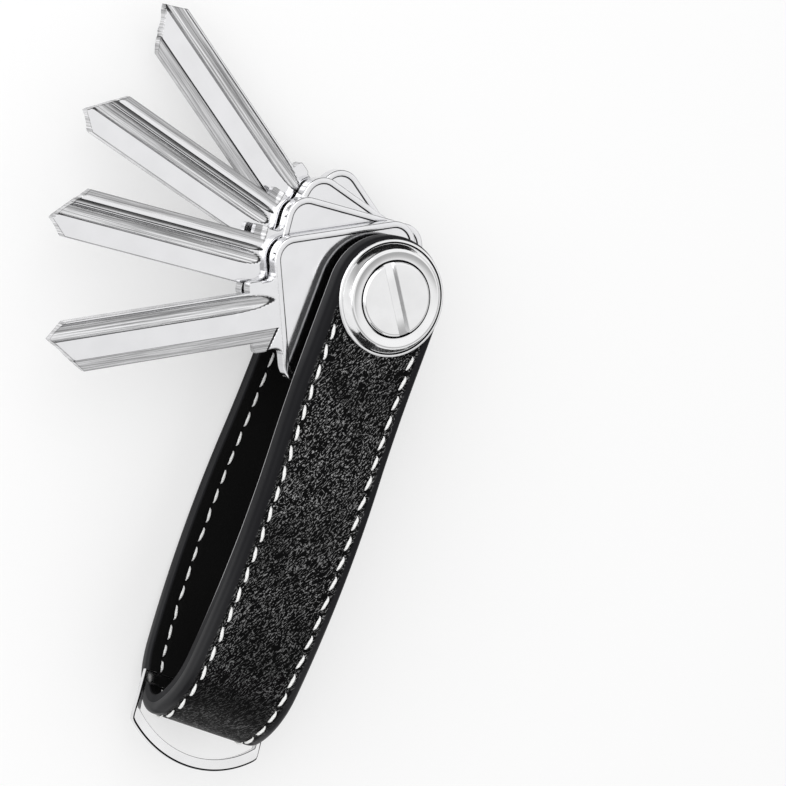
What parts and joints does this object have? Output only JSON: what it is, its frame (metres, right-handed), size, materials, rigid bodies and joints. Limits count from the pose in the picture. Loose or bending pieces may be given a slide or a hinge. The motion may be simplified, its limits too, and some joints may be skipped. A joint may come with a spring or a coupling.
{
  "type": "leather key organiser",
  "caption": "Black stitched leather strap folded in a loop round a coin-slot screw post that clamps a fan of flat keys, with a D-ring at the fold.",
  "frame": {"origin": "centre of the back cap's flat underside, on the screw axis", "axes": "+Z along the screw axis towards the slotted screw, -Y along the strap to the fold and the ring, keys fanned towards -X"},
  "size_m": [0.0685, 0.1124, 0.0238],
  "materials": {
    "grained_leather": "black, finely wrinkled grain, semi-matt, with painted edges",
    "lining_leather": "black, smooth, matt",
    "cap_chrome": "polished",
    "ring_chrome": "polished",
    "key_nickel": "nickel-plated, bright, with brushed milled grooves",
    "washer_plastic": "matt"
  },
  "bodies": {
    "holder": {"strap_outer_leather": "grained_leather", "strap_lining": "lining_leather", "front_cap": "cap_chrome", "back_cap": "cap_chrome", "screw_post": "cap_chrome", "front_washer": "washer_plastic", "back_washer": "washer_plastic", "separator_1": "washer_plastic", "separator_2": "washer_plastic", "separator_3": "washer_plastic"},
    "screw": {"slotted_screw": "cap_chrome"},
    "key_1": {"key_1": "key_nickel"},
    "key_2": {"key_2": "key_nickel"},
    "key_3": {"key_3": "key_nickel"},
    "key_4": {"key_4": "key_nickel"},
    "ring": {"d_ring": "ring_chrome"}
  },
  "joints": [
    {"name": "key_1_swing", "type": "hinge", "parent": "holder", "child": "key_1", "pos_m": [0, 0, 0.01603], "axis": [0, 0, -1], "range_deg": [-61.8, 118.2]},
    {"name": "key_2_swing", "type": "hinge", "parent": "holder", "child": "key_2", "pos_m": [0, 0, 0.01315], "axis": [0, 0, -1], "range_deg": [-82.9, 97.1]},
    {"name": "key_3_swing", "type": "hinge", "parent": "holder", "child": "key_3", "pos_m": [0, 0, 0.01027], "axis": [0, 0, -1], "range_deg": [-100.7, 79.3]},
    {"name": "key_4_swing", "type": "hinge", "parent": "holder", "child": "key_4", "pos_m": [0, 0, 0.00739], "axis": [0, 0, -1], "range_deg": [-120.6, 59.4]},
    {"name": "screw_turn", "type": "hinge", "parent": "holder", "child": "screw", "pos_m": [0, 0, 0.02142], "axis": [0, 0, 1], "range_deg": [-90, 90]},
    {"name": "d_ring_swing", "type": "hinge", "parent": "holder", "child": "ring", "pos_m": [0, -0.07, 0.00996], "axis": [1, 0, 0], "range_deg": [-34, 105]}
  ]
}
